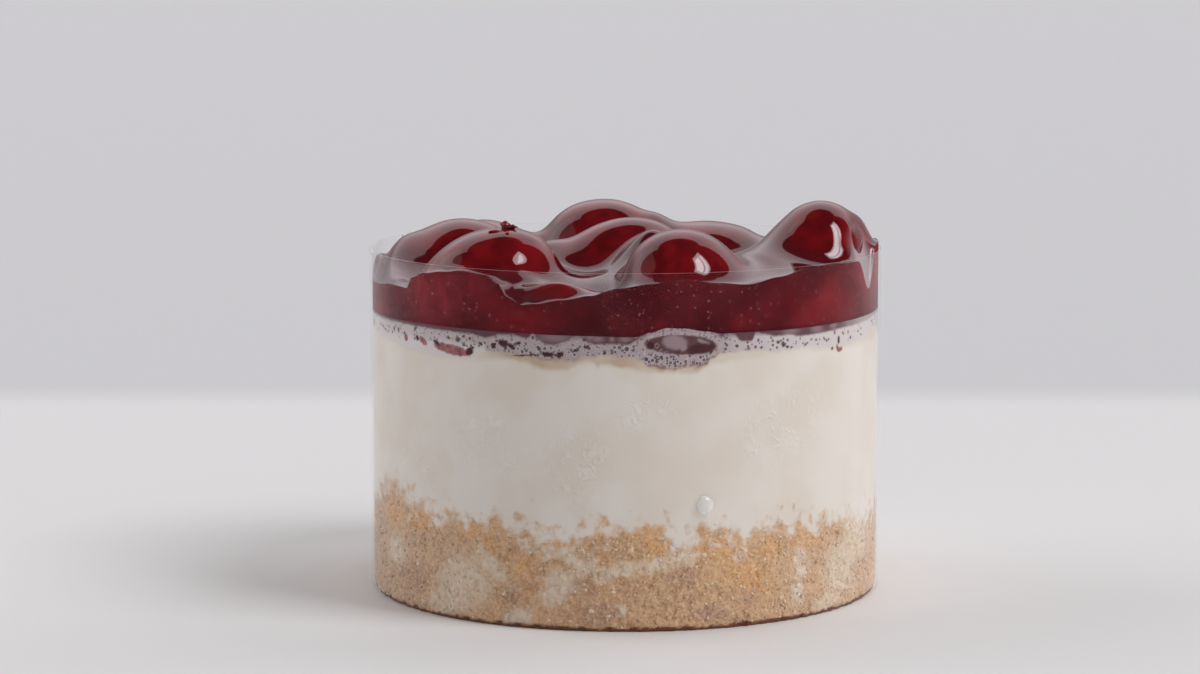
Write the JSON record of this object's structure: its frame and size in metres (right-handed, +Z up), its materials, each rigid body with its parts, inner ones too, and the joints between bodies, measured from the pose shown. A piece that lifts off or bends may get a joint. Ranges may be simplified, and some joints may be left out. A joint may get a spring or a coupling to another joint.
{
  "type": "mini cheesecake",
  "caption": "Single-portion cheesecake: crumb base, cream filling and cherries set in glossy jelly, wrapped in a clear film collar.",
  "frame": {"origin": "middle of the crumb base's flat underside", "axes": "+Z up out of the top of the cake; -Y is the side that faces the viewer, and +X is to their right"},
  "size_m": [0.0762, 0.0762, 0.0584],
  "materials": {
    "crumb": "pressed biscuit crumb, rough and dry",
    "cream": "smooth ivory cream cheese filling, satin",
    "jelly": "dark red cherry jelly, wet gloss",
    "cherry": "cooked red cherry under a glossy coat",
    "film": "clear acetate film, glossy"
  },
  "bodies": {
    "root": {"crumb_base": "crumb", "cream_filling": "cream", "cherry_jelly": "jelly", "cherry_front_left": "cherry", "cherry_front": "cherry", "cherry_right": "cherry", "cherry_centre": "cherry", "cherry_left": "cherry", "cherry_back": "cherry", "cherry_back_right": "cherry", "cherry_far_right": "cherry", "cherry_far_left": "cherry", "cherry_rear": "cherry", "acetate_collar": "film"}
  },
  "joints": []
}
